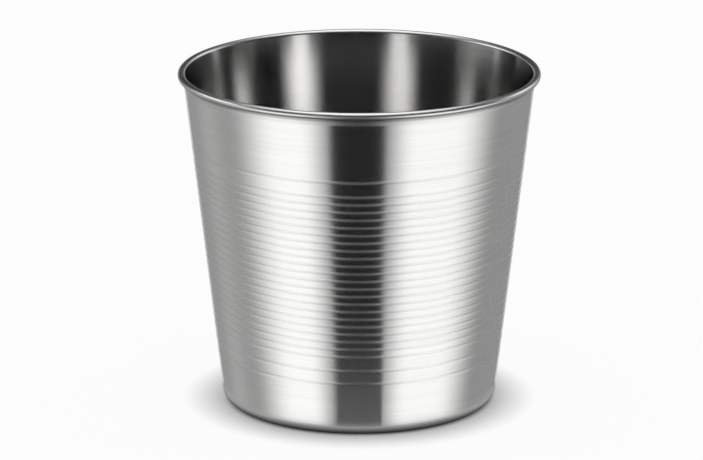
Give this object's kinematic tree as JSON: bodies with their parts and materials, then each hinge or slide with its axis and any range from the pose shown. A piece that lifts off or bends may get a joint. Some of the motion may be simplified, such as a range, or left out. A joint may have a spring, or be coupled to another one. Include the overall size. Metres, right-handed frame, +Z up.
{
  "type": "deep drawn metal cup",
  "caption": "Tapered open cup drawn from sheet steel, with a rolled rim, a rounded base corner and fine ring grooves around the wall.",
  "frame": {"origin": "on the cup's axis, in the plane on which its base ring stands", "axes": "+Z up along the cup's axis, out of its mouth; X and Y are alike, as the cup is round"},
  "size_m": [0.088, 0.088, 0.0825],
  "materials": {
    "steel": "satin stainless steel, brushed around the axis, with duller turned grooves"
  },
  "bodies": {
    "root": {"cup": "steel"}
  },
  "joints": []
}
